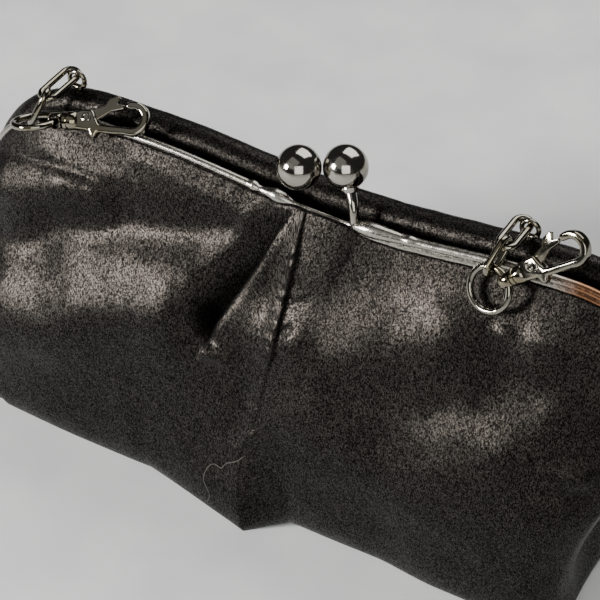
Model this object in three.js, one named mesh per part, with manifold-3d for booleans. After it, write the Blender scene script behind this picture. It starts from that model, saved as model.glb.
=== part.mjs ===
// Evening clutch: a satin frame purse with a kiss-lock and two swivel trigger clasps.
// Millimetres, +Z up, +X along the frame, front face towards -Y, origin under the middle of the base.
import * as THREE from 'three';
import { mergeVertices } from 'three/addons/utils/BufferGeometryUtils.js';
import Module from 'manifold-3d';

const wasm = await Module();
wasm.setup();

// Frame outline, seen from the front: two legs, two round shoulders and a top bar that sags
const frameHalf = 120;
const frameTop = 114;
const shoulderRadius = 38;
const hingeHeight = 70;
const legBelowHinge = 3;
const sag = { depth: 4.5, middle: 8, halfSpan: 72, forward: 1.2 };
const straightSteps = 14;
const arcSteps = 6;

// Room around a piece that passes through another, and how far a drill runs past the metal
const clearance = 0.3;
const drillSpare = 2;

// Front bar: a channel crimped over the edge of the front panel
const channel = { y: -4.4, width: 4.6, height: 5, wall: 0.8, roof: 1, chamfer: 0.5 };
const channelEdge = 0.9;

// Back bar: a round rod inside a padded satin roll
const rod = { y: 5.6, radius: 2.6, inset: 0.8, sides: 8 };
const roll = { radius: 5.1, bore: 3, sides: 10, startAboveHinge: 8 };
const hingePin = { radius: 1.2, inset: 0.4, front: -7.2, back: 8.8 };

// Kiss-lock knobs: each leans over to the other bar
const knobRadius = 6.65;
const knobs = {
  front: { ball: [4.5, 2.2, 124.5], foot: [11.5, -5.4, 111.2], bend: [10.6, -4, 116] },
  back: { ball: [-7.5, -4.7, 124.5], foot: [-9, 5.6, 109.6], bend: [-9.8, 4.6, 116.6] },
};
const post = { thin: 1.1, thick: 1.9, steps: 6, sides: 8 };
const saddles = [
  { x: 16, length: 9, width: 2.9, height: 1.5 },
  { x: -15, length: 5, width: 2.9, height: 1.2 },
];

// Satin bag; its belly hangs to the left of the frame by the shift
const cloth = 1.4;
const belly = { halfWidth: 111, shift: -13, back: 36.9, corner: 15 };
// Depth of the front belly along the bag: least near the left end and most on the right
const frontDepths = [
  { x: -121, depth: 28 },
  { x: -100, depth: 25.8 },
  { x: -58, depth: 29.8 },
  { x: -20, depth: 31 },
  { x: 40, depth: 31.6 },
  { x: 60, depth: 34 },
  { x: 121, depth: 34 },
];
const tuckedHem = 5.2;
const seatUnderRoll = 0.5;
const clothStartAboveHinge = 4;
const gussetFold = 10;
const gussetSteps = 6;
const columnStep = { wide: 10, fine: 4.6, fineFrom: -36, fineTo: 10, back: 16 };
// How strongly a wall tucks in sideways, and how fast the folds die out at the bar and at the base
const tuckSideways = 0.25;
const foldFade = { bar: 4, base: 8 };
// One row for each level of the wall: height as a share of its own edge height, how far the wall
// has swung out from the frame to the belly, and how far it tucks in under the bag
const levels = [
  { height: 0.0, reach: 1.0, tuck: 7 },
  { height: 0.02, reach: 1.0, tuck: 3.4 },
  { height: 0.07, reach: 1.0, tuck: 0.7 },
  { height: 0.13, reach: 1.0, tuck: 0 },
  { height: 0.21, reach: 0.985, tuck: 0 },
  { height: 0.29, reach: 0.95, tuck: 0 },
  { height: 0.37, reach: 0.905, tuck: 0 },
  { height: 0.45, reach: 0.845, tuck: 0 },
  { height: 0.53, reach: 0.77, tuck: 0 },
  { height: 0.6, reach: 0.69, tuck: 0 },
  { height: 0.67, reach: 0.6, tuck: 0 },
  { height: 0.74, reach: 0.5, tuck: 0 },
  { height: 0.81, reach: 0.395, tuck: 0 },
  { height: 0.88, reach: 0.27, tuck: 0 },
  { height: 0.95, reach: 0.12, tuck: 0 },
  { height: 1.0, reach: 0, tuck: 0 },
];
// Soft folds of the front panel: a ridge (or valley, if negative) from one place to another
const folds = [
  { fromX: -112, fromZ: 90, toX: -72, toZ: 98, rise: 2.4, spread: 5 },
  { fromX: -106, fromZ: 72, toX: -30, toZ: 97, rise: -3.2, spread: 7 },
  { fromX: -104, fromZ: 43, toX: -44, toZ: 66, rise: 6, spread: 17 },
  { fromX: 2, fromZ: 69, toX: 44, toZ: 88, rise: 3, spread: 12 },
  { fromX: 20, fromZ: 56, toX: 70, toZ: 60, rise: 2.6, spread: 20 },
  { fromX: 80, fromZ: 60, toX: 98, toZ: 57, rise: 1.4, spread: 4 },
  { fromX: 64, fromZ: 93, toX: 92, toZ: 92, rise: 1.1, spread: 5 },
];
// Pleat: its folded edge runs down and left from the clasp; the flap between that edge and the centre
// seam stands proud, and the cloth on its left dips into a valley beside it
const pleat = {
  topX: -5, topZ: 112, endZ: 64, run: -23, bend: 1.2,
  valley: 4, spread: 5, flap: 0.9, open: 2.5, close: 7,
};
// Centre seam: straight at first, then drifting to the left on its way down
const seam = { x: -4.5, driftFrom: 66, drift: -6.5 };
// Dart at the seam's foot: a point of cloth that stands out at the base, gentle on the left of the
// seam and steep on its right, and that takes most of the tuck out of the wall there
const dart = { rise: 8, left: 40, right: 13, height: 48, untuck: 0.6 };

// Chain and trigger clasps
const lug = { radius: 2.7, wire: 0.8, stalk: 1 };
const link = { halfWidth: 2.6, wire: 0.8, sides: 6, bends: 6, twist: 0.6 };
const ring = { radius: 6.7, wire: 1.05, sides: 6, steps: 16 };
const swivel = {
  radius: 2.6, from: -5.1, to: -0.5, eye: 2, eyeAt: -2.7,
  pin: 1.1, head: 1.7, headFrom: 1.8, headTo: 3.2, weld: 0.3,
};
const barrel = { radius: 2.9, from: -0.2, to: 4.4, bore: 1.4, counterbore: 2, step: 1.5, depth: 3.6 };
const hook = { thick: 3.4, bevel: 0.45, bowX: 22, bowRadius: 5.2, loopRadius: 3.3 };
const slot = { thick: 1.8, length: 7.2, height: 9, x: 8.6, y: 2.6 };
const gate = { thick: 1.2, pivotX: 7.6, pivotY: 0.6, root: 2.1 };
const rivet = { radius: 1, room: 1.25, proud: 0.3 };
// One row for each clasp: the lug's place on the frame and where the chain hangs on it (degrees from
// the right), the knee where its two links cross, the ring's centre, face and the way to the link
// that holds it, the way from the ring to the hook's eye, and the hook's run and face
const clasps = [
  {
    side: 'left', lugX: -90, hangAt: 165, knee: [-96, -6.6, 120.2],
    ringAt: [-94.4, -14.4, 116.7], ringFace: [-0.24, 0.25, 0.93], grip: [-0.55, 0.77, -0.28],
    along: [0.94, 0.31, 0.16], face: [0.1, -0.68, 0.72],
  },
  {
    side: 'right', lugX: 63, hangAt: 165, knee: [59.8, -5.5, 121.3],
    ringAt: [59.4, -13, 111], ringFace: [-0.18, -0.91, 0.36], grip: [-0.12, 0.36, 0.92],
    along: [0.73, 0.12, 0.67], face: [-0.18, -0.91, 0.36],
  },
];

const satin = { color: 0x1c1a1a, roughness: 0.45, metalness: 0 };
const nickel = { color: 0xc9c6bb, roughness: 0.16, metalness: 1 };

const vec = (x, y, z) => new THREE.Vector3(x, y, z);
const clamp01 = (value) => THREE.MathUtils.clamp(value, 0, 1);

// Closed surface through rings of equally many points; caps follow the ring's own outline
function loft(rings, { loop = false, cap = null } = {}) {
  const count = rings[0].length;
  const index = [];
  const bands = loop ? rings.length : rings.length - 1;
  for (let band = 0; band < bands; band += 1) {
    const low = band * count;
    const high = ((band + 1) % rings.length) * count;
    for (let i = 0; i < count; i += 1) {
      const j = (i + 1) % count;
      index.push(low + i, low + j, high + j, low + i, high + j, high + i);
    }
  }
  if (!loop) {
    const faces = cap ?? fan(count);
    const last = (rings.length - 1) * count;
    for (const [a, b, c] of faces) index.push(c, b, a, last + a, last + b, last + c);
  }
  const geometry = new THREE.BufferGeometry();
  const positions = rings.flat().flatMap((point) => point.toArray());
  geometry.setAttribute('position', new THREE.Float32BufferAttribute(positions, 3));
  geometry.setIndex(index);
  return geometry;
}

function fan(count) {
  return Array.from({ length: count - 2 }, (_, i) => [0, i + 1, i + 2]);
}

// Solids for joining and cutting
function solid(geometry) {
  const bare = geometry.clone();
  bare.deleteAttribute('normal');
  bare.deleteAttribute('uv');
  const merged = mergeVertices(bare, 1e-4);
  return new wasm.Manifold(new wasm.Mesh({
    numProp: 3,
    vertProperties: new Float32Array(merged.attributes.position.array),
    triVerts: new Uint32Array(merged.index.array),
  }));
}

function fromSolid(manifold) {
  const { vertProperties, triVerts } = manifold.getMesh();
  const geometry = new THREE.BufferGeometry();
  geometry.setAttribute('position', new THREE.BufferAttribute(vertProperties, 3));
  geometry.setIndex(new THREE.BufferAttribute(triVerts, 1));
  return geometry;
}

const join = (first, ...others) => others.reduce((body, other) => body.add(other), first);
const cut = (first, ...others) => others.reduce((body, other) => body.subtract(other), first);

// Round bar between two points
function bar(start, end, radius, sides = 10) {
  const length = start.distanceTo(end);
  const turn = new THREE.Quaternion().setFromUnitVectors(vec(0, 1, 0), end.clone().sub(start).normalize());
  return new THREE.CylinderGeometry(radius, radius, length, sides)
    .applyQuaternion(turn)
    .translate(...start.clone().add(end).multiplyScalar(0.5).toArray());
}

// Place on the frame, by the distance from the middle of the top bar; inset moves it inwards
const topHalf = frameHalf - shoulderRadius;
const arcLength = shoulderRadius * Math.PI / 2;
const halfToHinge = topHalf + arcLength + (frameTop - shoulderRadius - hingeHeight);

function sagShare(x) {
  const off = Math.abs(x - sag.middle) / sag.halfSpan;
  return off < 1 ? Math.cos(off * Math.PI / 2) ** 2 : 0;
}

function framePlace(distance, inset = 0) {
  const side = Math.sign(distance) || 1;
  const along = Math.abs(distance);
  const angle = Math.min(Math.max(along - topHalf, 0), arcLength) / shoulderRadius;
  const leg = Math.max(along - topHalf - arcLength, 0);
  const radius = shoulderRadius - inset;
  const x = side * (Math.min(along, topHalf) + radius * Math.sin(angle));
  const z = frameTop - shoulderRadius + radius * Math.cos(angle) - leg - sag.depth * sagShare(x);
  return { x, z, out: vec(side * Math.sin(angle), 0, Math.cos(angle)) };
}

const frontY = (x) => channel.y - sag.forward * sagShare(x);

// Stations along the frame: close on the shoulders, wider on the straight
function frameStations(end) {
  const stations = [];
  for (let i = 0; i <= straightSteps; i += 1) stations.push(-topHalf + (2 * topHalf * i) / straightSteps);
  for (let i = 1; i <= arcSteps; i += 1) {
    const station = topHalf + (arcLength * i) / arcSteps;
    stations.push(station);
    stations.unshift(-station);
  }
  if (end > topHalf + arcLength + 1) {
    stations.push(end);
    stations.unshift(-end);
  }
  return stations;
}

// Ring of a section given as pairs (out from the frame, towards the back) at one station
function sectionRing(place, y, section) {
  return section.map(([out, back]) => vec(place.x, y + back, place.z).addScaledVector(place.out, out));
}

function circleSection(radius, sides) {
  return Array.from({ length: sides }, (_, i) => {
    const angle = (-2 * Math.PI * i) / sides;
    return [radius * Math.cos(angle), radius * Math.sin(angle)];
  });
}

function knobSolid({ ball, foot, bend }) {
  const curve = new THREE.CatmullRomCurve3([vec(...foot), vec(...bend), vec(...ball)]);
  const frames = curve.computeFrenetFrames(post.steps, false);
  const rings = Array.from({ length: post.steps + 1 }, (_, i) => {
    const share = i / post.steps;
    const radius = THREE.MathUtils.lerp(post.thin, post.thick, share);
    return Array.from({ length: post.sides }, (_, k) => {
      const angle = (2 * Math.PI * k) / post.sides;
      return curve.getPointAt(share)
        .addScaledVector(frames.normals[i], radius * Math.cos(angle))
        .addScaledVector(frames.binormals[i], radius * Math.sin(angle));
    });
  });
  const sphere = new THREE.SphereGeometry(knobRadius, 16, 10).rotateX(Math.PI / 2).translate(...ball);
  return join(solid(loft(rings)), solid(sphere));
}

function hingePinBar(side, radius, spare) {
  const x = side * (frameHalf - hingePin.inset);
  return bar(vec(x, hingePin.front - spare, hingeHeight), vec(x, hingePin.back + spare, hingeHeight), radius);
}

const pinHole = (side) => solid(hingePinBar(side, hingePin.radius + clearance, drillSpare));
const pinHoles = () => [pinHole(-1), pinHole(1)];

// Front bar with its crimped channel, saddles and knob
function frontFrame() {
  const half = channel.width / 2;
  const top = channel.height / 2;
  const inner = half - channel.wall;
  const section = [
    [-top, half], [top - channel.chamfer, half], [top, half - channel.chamfer],
    [top, channel.chamfer - half], [top - channel.chamfer, -half], [-top, -half],
    [-top, -inner], [top - channel.roof, -inner], [top - channel.roof, inner], [-top, inner],
  ];
  const outline = section.map(([out, back]) => new THREE.Vector2(out, back));
  const places = frameStations(halfToHinge + legBelowHinge).map((station) => framePlace(station));
  const channelRings = (outlineRow) => places.map((place) => sectionRing(place, frontY(place.x), outlineRow));
  const cap = THREE.ShapeUtils.triangulateShape(outline, []).map((face) => face.reverse());
  const lobes = saddles.map(({ x, length, width, height }) => {
    const place = framePlace(x);
    return solid(new THREE.SphereGeometry(1, 12, 8)
      .rotateX(Math.PI / 2)
      .scale(length, width, height)
      .translate(place.x, frontY(place.x), place.z + top));
  });
  const body = join(solid(loft(channelRings(section), { cap })), ...lobes, knobSolid(knobs.front));
  const room = [
    [-top - drillSpare, inner], [top - channel.roof, inner],
    [top - channel.roof, -inner], [-top - drillSpare, -inner],
  ];
  return cut(body, solid(loft(channelRings(room))), ...pinHoles());
}

// Lug: a small ring on a stalk that stands on the back rod
function lugPlace(x) {
  const station = Math.sign(x) * (Math.abs(x) < topHalf ? Math.abs(x)
    : topHalf + shoulderRadius * Math.asin((Math.abs(x) - topHalf) / shoulderRadius));
  const place = framePlace(station, rod.inset);
  const foot = vec(place.x, rod.y, place.z);
  const centre = foot.clone().addScaledVector(place.out, roll.radius + clearance + lug.wire + lug.radius);
  return { foot, centre, out: place.out };
}

function lugSolid(x) {
  const { foot, centre, out } = lugPlace(x);
  const torus = new THREE.TorusGeometry(lug.radius, lug.wire, 6, 12)
    .rotateX(Math.PI / 2)
    .translate(...centre.toArray());
  const stalkTop = centre.clone().addScaledVector(out, -lug.radius);
  return join(solid(torus), solid(bar(foot, stalkTop, lug.stalk, 8)));
}

function backFrame() {
  const rings = frameStations(halfToHinge + legBelowHinge).map((station) =>
    sectionRing(framePlace(station, rod.inset), rod.y, circleSection(rod.radius, rod.sides)));
  const body = join(solid(loft(rings)), knobSolid(knobs.back), ...clasps.map(({ lugX }) => lugSolid(lugX)));
  return cut(body, ...pinHoles());
}

// Padded roll over the back rod, with a hole for the knob's post and for each lug's stalk
function backRoll() {
  const stations = frameStations(halfToHinge - roll.startAboveHinge);
  const wallRings = (radius) => stations.map((station) =>
    sectionRing(framePlace(station, rod.inset), rod.y, circleSection(radius, roll.sides)));
  const sleeve = solid(loft([...wallRings(roll.radius), ...wallRings(roll.bore).reverse()], { loop: true }));
  const stalkHoles = clasps.map(({ lugX }) => {
    const { foot, centre } = lugPlace(lugX);
    return solid(bar(foot, centre, lug.stalk + clearance, 8));
  });
  const { foot, bend } = knobs.back;
  const postHole = solid(bar(vec(...foot), vec(...bend), post.thick + clearance, 10));
  return cut(sleeve, postHole, ...stalkHoles);
}

function frontDepth(x) {
  const k = frontDepths.findIndex((row, i) => i > 0 && x <= row.x);
  const [low, high] = frontDepths.slice(k - 1, k + 1);
  return THREE.MathUtils.mapLinear(x, low.x, high.x, low.depth, high.depth);
}

// Edge of the belly in plan for a front of the given depth, by the distance from the belly's middle
function bellyPlace(distance, depth) {
  const side = Math.sign(distance) || 1;
  const along = Math.abs(distance);
  const straight = belly.halfWidth - belly.corner;
  const angle = Math.min(Math.max(along - straight, 0) / belly.corner, Math.PI / 2);
  const rest = Math.max(along - straight - belly.corner * Math.PI / 2, 0);
  return vec(
    belly.shift + side * (Math.min(along, straight) + belly.corner * Math.sin(angle)),
    -depth + belly.corner * (1 - Math.cos(angle)) + rest,
    0,
  );
}

const bellyStraight = belly.halfWidth - belly.corner;
const bellyCorner = belly.corner * Math.PI / 4;
const clothEnd = halfToHinge - clothStartAboveHinge;

// Belly distance for a frame station: straight to straight, shoulder and leg to half a corner
function bellyDistance(station) {
  const along = Math.abs(station);
  if (along <= topHalf) return (station * bellyStraight) / topHalf;
  return Math.sign(station) * (bellyStraight + (bellyCorner * (along - topHalf)) / (clothEnd - topHalf));
}

// Columns of the bag, each with its edge in the frame, its hem below that and its belly place
function panelColumn(station, back) {
  const place = framePlace(station, back ? rod.inset : 0);
  const y = back ? rod.y : frontY(place.x) - cloth / 2;
  const edgeOut = back ? -(roll.radius + seatUnderRoll) : channelEdge;
  const edge = vec(place.x, y, place.z).addScaledVector(place.out, edgeOut);
  const hem = edge.clone().addScaledVector(place.out, -tuckedHem);
  const wide = bellyPlace(bellyDistance(station), back ? belly.back : frontDepth(place.x));
  if (back) wide.y *= -1;
  return { edge, hem, wide, front: !back, fold: 0 };
}

function gussetColumns(from, to, side) {
  const columns = [];
  for (let i = 1; i < gussetSteps; i += 1) {
    const share = i / gussetSteps;
    const hem = from.hem.clone().lerp(to.hem, share);
    const edge = hem.clone().add(vec(0, 0, tuckedHem / 2));
    const depth = share > 0.5 ? belly.back : frontDepth(side * frameHalf);
    const sideLength = 2 * (bellyCorner + depth - belly.corner);
    const cornerEnd = bellyStraight + bellyCorner;
    const round = bellyPlace(side * (cornerEnd + sideLength * Math.min(share, 1 - share)), depth);
    if (share > 0.5) round.y *= -1;
    const fold = -side * gussetFold * (1 - Math.abs(2 * share - 1));
    columns.push({ edge, hem, wide: round, front: false, fold });
  }
  return columns;
}

function frontStations() {
  const stations = [];
  let station = -clothEnd;
  while (station < clothEnd - columnStep.fine) {
    stations.push(station);
    const fine = station >= columnStep.fineFrom && station < columnStep.fineTo;
    station += fine ? columnStep.fine : columnStep.wide;
  }
  return [...stations, clothEnd];
}

function backStations() {
  const steps = Math.round((2 * clothEnd) / columnStep.back);
  return Array.from({ length: steps + 1 }, (_, i) => clothEnd - (2 * clothEnd * i) / steps);
}

// How far the front panel stands proud of its plain form
function seamX(z) {
  return seam.x + seam.drift * clamp01((seam.driftFrom - z) / seam.driftFrom);
}

function dartShare(x, z) {
  const off = x - seamX(0);
  return clamp01(1 - (off < 0 ? -off / dart.left : off / dart.right)) * clamp01(1 - z / dart.height);
}

function foldRise(x, z) {
  let rise = 0;
  for (const fold of folds) {
    const run = new THREE.Vector2(fold.toX - fold.fromX, fold.toZ - fold.fromZ);
    const offset = new THREE.Vector2(x - fold.fromX, z - fold.fromZ);
    const share = offset.dot(run) / run.lengthSq();
    const across = Math.abs(offset.cross(run)) / run.length();
    const beyond = (share - clamp01(share)) * run.length();
    rise += fold.rise * Math.exp(-((across ** 2 + beyond ** 2) / fold.spread ** 2));
  }
  const share = clamp01((pleat.topZ - z) / (pleat.topZ - pleat.endZ));
  const edge = pleat.topX + pleat.run * share ** pleat.bend;
  const fade = clamp01(share * pleat.open) * clamp01(1 - (pleat.endZ - z) / pleat.close);
  if (x < edge) rise -= pleat.valley * fade * Math.exp(-(((edge - x) / pleat.spread) ** 2));
  else if (x < seamX(z)) rise += pleat.flap * fade;
  return rise;
}

function columnPoint({ edge, hem, wide, front, fold }, { height, reach, tuck }) {
  const point = vec(
    THREE.MathUtils.lerp(hem.x, wide.x, reach),
    THREE.MathUtils.lerp(hem.y, wide.y, reach),
    hem.z * height,
  );
  const pointed = front ? dartShare(point.x, point.z) : 0;
  const inward = vec((belly.shift - wide.x) * tuckSideways, -wide.y, 0).normalize();
  point.addScaledVector(inward, tuck * (1 - dart.untuck * pointed) - dart.rise * pointed);
  point.x += fold * Math.sin(Math.PI * height);
  const fade = clamp01(reach * foldFade.bar) * clamp01(height * foldFade.base);
  if (front) point.y -= foldRise(point.x, point.z) * fade;
  return point;
}

function satinBody() {
  const front = frontStations().map((station) => panelColumn(station, false));
  const back = backStations().map((station) => panelColumn(station, true));
  const rightSide = gussetColumns(front.at(-1), back[0], 1);
  const leftSide = gussetColumns(front[0], back.at(-1), -1).reverse();
  const columns = [...front, ...rightSide, ...back, ...leftSide];
  const outer = [
    ...levels.map((level) => columns.map((column) => columnPoint(column, level))),
    columns.map(({ edge }) => edge.clone()),
  ];
  const inner = outer.map((row, r) => row.map((point, c) => {
    const across = row[(c + 1) % row.length].clone().sub(row.at(c - 1));
    const upper = outer[Math.min(r + 1, outer.length - 1)][c];
    const rise = upper.clone().sub(outer[Math.max(r - 1, 0)][c]);
    const inward = rise.cross(across).normalize();
    const moved = point.clone().addScaledVector(inward, cloth);
    if (r === 0) moved.z = cloth;
    return moved;
  }));
  inner[1].forEach((point) => {
    point.z = Math.max(point.z, 2 * cloth);
  });
  return loft([...outer, ...inner.reverse()]);
}

// Chain link: a round wire bent to half circles about two places, joined by straights
function linkGeometry(start, end, across) {
  const pull = end.clone().sub(start).normalize();
  const normal = pull.clone().cross(across).normalize();
  const side = normal.clone().cross(pull).normalize();
  const rings = [];
  for (const [centre, way] of [[end, 1], [start, -1]]) {
    for (let i = 0; i < link.bends; i += 1) {
      const angle = -Math.PI / 2 + (Math.PI * i) / (link.bends - 1);
      const radial = pull.clone().multiplyScalar(way * Math.cos(angle))
        .addScaledVector(side, way * Math.sin(angle));
      const middle = centre.clone().addScaledVector(radial, link.halfWidth);
      rings.push(Array.from({ length: link.sides }, (_, k) => {
        const turn = (-2 * Math.PI * k) / link.sides;
        return middle.clone()
          .addScaledVector(radial, link.wire * Math.cos(turn))
          .addScaledVector(normal, link.wire * Math.sin(turn));
      }));
    }
  }
  return loft(rings, { loop: true });
}

// Basis with its x axis along one direction and its z axis near another
function basis(along, face, origin) {
  const x = along.clone().normalize();
  const z = face.clone().addScaledVector(x, -face.dot(x)).normalize();
  const y = z.clone().cross(x);
  return new THREE.Matrix4().makeBasis(x, y, z).setPosition(origin);
}

function plate(points, thick, bevel) {
  const shape = new THREE.Shape(points.map(([x, y]) => new THREE.Vector2(x, y)));
  const depth = thick - 2 * bevel;
  const edge = { bevelThickness: bevel, bevelSize: bevel, bevelOffset: -bevel, bevelSegments: 1 };
  const options = { depth, steps: 1, bevelEnabled: bevel > 0, ...edge };
  return new THREE.ExtrudeGeometry(shape, options).translate(0, 0, -depth / 2);
}

function arcPoints(x, y, radius, from, to, steps) {
  return Array.from({ length: steps + 1 }, (_, i) => {
    const angle = THREE.MathUtils.degToRad(THREE.MathUtils.lerp(from, to, i / steps));
    return [x + radius * Math.cos(angle), y + radius * Math.sin(angle)];
  });
}

// Pieces of the clasp in its own frame: x along the hook from the barrel, z out of its flat face
const onAxis = (from, to, radius, sides) => solid(bar(vec(from, 0, 0), vec(to, 0, 0), radius, sides));

function rivetBar(radius, reach) {
  return bar(vec(gate.pivotX, gate.pivotY, -reach), vec(gate.pivotX, gate.pivotY, reach), radius, 12);
}

const rivetRoom = () => solid(rivetBar(rivet.room, hook.thick / 2 + drillSpare));

function hookSolid() {
  const outline = [
    [2.6, -2.5], [8.2, -3.3], [8.8, -5.4], [10.4, -5.6], [11.2, -3.9], [16.5, -4.5],
    ...arcPoints(hook.bowX, 0, hook.bowRadius, -115, 112, 14),
    [19.9, 3.1],
    ...arcPoints(hook.bowX, 0, hook.loopRadius, 95, -110, 10),
    [15.5, -2.5], [11.4, -1.6], [10.4, 0.6], [9.6, 3], [6, 3.2], [2.6, 2.5],
  ];
  const body = join(
    solid(plate(outline, hook.thick, hook.bevel)),
    onAxis(barrel.from, barrel.to, barrel.radius, 14),
  );
  const gateSlot = new THREE.BoxGeometry(slot.length, slot.height, slot.thick).translate(slot.x, slot.y, 0);
  const bore = onAxis(barrel.from - drillSpare, barrel.step + swivel.weld, barrel.bore, 12);
  const counterbore = onAxis(barrel.step, barrel.depth, barrel.counterbore, 12);
  return cut(body, solid(gateSlot), rivetRoom(), bore, counterbore);
}

function gateSolid() {
  const outline = [
    ...arcPoints(gate.pivotX, gate.pivotY, gate.root, 95, 300, 9),
    [15, 2.5], [19, 3.1], [19.3, 4.4], [17, 4.7], [18, 6.6], [17, 7.3], [14.4, 6.4], [13, 4.3],
  ];
  return cut(solid(plate(outline, gate.thick, 0)), rivetRoom());
}

// Swivel: a pierced head outside the barrel, and a pin with a head held inside it
function swivelSolid() {
  const body = join(
    onAxis(swivel.from, swivel.to, swivel.radius, 12),
    onAxis(swivel.to - swivel.weld, swivel.headFrom + swivel.weld, swivel.pin, 10),
    onAxis(swivel.headFrom, swivel.headTo, swivel.head, 10),
  );
  const reach = swivel.radius + drillSpare;
  const eye = solid(bar(vec(swivel.eyeAt, -reach, 0), vec(swivel.eyeAt, reach, 0), swivel.eye, 12));
  return cut(body, eye);
}

// Assembly
const clutch = new THREE.Group();

function addMesh(parent, name, geometry, look) {
  const flat = geometry.index ? geometry.toNonIndexed() : geometry;
  flat.deleteAttribute('normal');
  flat.deleteAttribute('uv');
  const welded = mergeVertices(flat, 1e-5);
  welded.computeVertexNormals();
  const mesh = new THREE.Mesh(welded, new THREE.MeshStandardMaterial(look));
  mesh.name = name;
  parent.add(mesh);
  return mesh;
}

addMesh(clutch, 'satin_body', satinBody(), satin);
addMesh(clutch, 'back_roll', fromSolid(backRoll()), satin);
addMesh(clutch, 'front_frame', fromSolid(frontFrame()), nickel);
addMesh(clutch, 'back_frame', fromSolid(backFrame()), nickel);
addMesh(clutch, 'left_hinge_pin', hingePinBar(-1, hingePin.radius, 0), nickel);
addMesh(clutch, 'right_hinge_pin', hingePinBar(1, hingePin.radius, 0), nickel);

const unit = (row) => vec(...row).normalize();

// Direction turned into the plane that has the given normal
const intoPlane = (way, normal) => way.clone().addScaledVector(normal, -way.dot(normal)).normalize();

for (const { side, lugX, hangAt, knee, ringAt, ringFace, grip, along, face } of clasps) {
  const hang = THREE.MathUtils.degToRad(hangAt);
  const lugWire = lugPlace(lugX).centre.clone()
    .add(vec(lug.radius * Math.cos(hang), 0, lug.radius * Math.sin(hang)));
  const crossing = vec(...knee);
  const pull = crossing.clone().sub(lugWire).normalize();
  const upperEnd = crossing.clone().addScaledVector(pull, -link.halfWidth);
  addMesh(clutch, `${side}_upper_link`, linkGeometry(lugWire, upperEnd, vec(1, 0, 0)), nickel);

  const centre = vec(...ringAt);
  const normal = unit(ringFace);
  const toLink = intoPlane(unit(grip), normal);
  const held = centre.clone().addScaledVector(toLink, ring.radius);
  const threaded = normal.clone().cross(toLink).add(vec(-link.twist, 0, 0));
  const across = threaded.cross(held.clone().sub(crossing));
  addMesh(clutch, `${side}_lower_link`, linkGeometry(crossing, held, across), nickel);

  const hookWay = unit(along);
  const wire = new THREE.TorusGeometry(ring.radius, ring.wire, ring.sides, ring.steps);
  addMesh(clutch, `${side}_ring`, wire, nickel).applyMatrix4(basis(hookWay, normal, centre));

  const eye = centre.clone().addScaledVector(intoPlane(hookWay, normal), ring.radius);
  const origin = eye.clone().addScaledVector(hookWay, -swivel.eyeAt);
  addMesh(clutch, `${side}_swivel`, fromSolid(swivelSolid()), nickel)
    .applyMatrix4(basis(hookWay, normal, origin));

  const claspGroup = new THREE.Group();
  claspGroup.applyMatrix4(basis(hookWay, unit(face), origin));
  addMesh(claspGroup, `${side}_hook`, fromSolid(hookSolid()), nickel);
  addMesh(claspGroup, `${side}_gate`, fromSolid(gateSolid()), nickel);
  addMesh(claspGroup, `${side}_rivet`, rivetBar(rivet.radius, hook.thick / 2 + rivet.proud), nickel);
  clutch.add(claspGroup);
}

export default clutch;
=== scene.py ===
import math

import bmesh
import bpy
from mathutils import Matrix, Vector, noise


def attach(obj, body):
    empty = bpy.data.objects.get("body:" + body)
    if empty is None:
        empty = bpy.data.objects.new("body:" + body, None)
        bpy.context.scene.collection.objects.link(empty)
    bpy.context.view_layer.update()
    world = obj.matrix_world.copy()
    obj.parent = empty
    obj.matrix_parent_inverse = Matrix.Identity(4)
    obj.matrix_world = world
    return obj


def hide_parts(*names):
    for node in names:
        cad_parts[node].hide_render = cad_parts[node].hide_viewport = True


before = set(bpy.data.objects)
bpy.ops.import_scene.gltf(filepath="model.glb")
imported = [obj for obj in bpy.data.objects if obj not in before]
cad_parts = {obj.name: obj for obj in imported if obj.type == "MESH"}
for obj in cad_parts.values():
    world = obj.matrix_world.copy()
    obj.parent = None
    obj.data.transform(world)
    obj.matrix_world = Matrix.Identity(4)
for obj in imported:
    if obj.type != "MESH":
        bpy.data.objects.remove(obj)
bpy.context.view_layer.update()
mm = 0.001
print("frame loaded")


# Small helpers for picking and finishing
def clearSelection():
    if bpy.context.object and bpy.context.object.mode != "OBJECT":
        bpy.ops.object.mode_set(mode="OBJECT")
    bpy.ops.object.select_all(action="DESELECT")


def pickOnly(*pieces):
    clearSelection()
    for piece in pieces:
        piece.select_set(True)
    bpy.context.view_layer.objects.active = pieces[0]


def nameNew(name):  # the piece that was just added
    piece = bpy.context.object
    piece.name = name
    piece.data.name = name
    return piece


def pickWhere(kind, test):  # in edit mode, by the place of each vertex, or of each face's middle, in mm
    bpy.ops.mesh.select_mode(type=kind)
    bpy.ops.mesh.select_all(action="DESELECT")
    mesh = bmesh.from_edit_mesh(bpy.context.object.data)
    for item in mesh.verts if kind == "VERT" else mesh.faces:
        place = item.co if kind == "VERT" else item.calc_center_median()
        item.select_set(test(place / mm))
    mesh.select_flush_mode()
    bmesh.update_edit_mesh(bpy.context.object.data)


def reshape(test, operator, value):  # moves or scales the vertices at some places
    bpy.ops.object.mode_set(mode="EDIT")
    pickWhere("VERT", test)
    operator(value=value)
    bpy.ops.object.mode_set(mode="OBJECT")


def leaveOutwards():  # turns all faces outwards and leaves edit mode
    bpy.ops.mesh.select_all(action="SELECT")
    bpy.ops.mesh.normals_make_consistent(inside=False)
    bpy.ops.object.mode_set(mode="OBJECT")


def applyModifier(piece, kind, **settings):
    pickOnly(piece)
    modifier = piece.modifiers.new(kind.title(), kind)
    for key, value in settings.items():
        setattr(modifier, key, value)
    bpy.ops.object.modifier_apply(modifier=modifier.name)


def settle(piece, matrix):  # puts a piece in place and leaves the place in its mesh
    pickOnly(piece)
    piece.matrix_world = matrix
    bpy.ops.object.transform_apply(location=True, rotation=True, scale=True)


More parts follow.
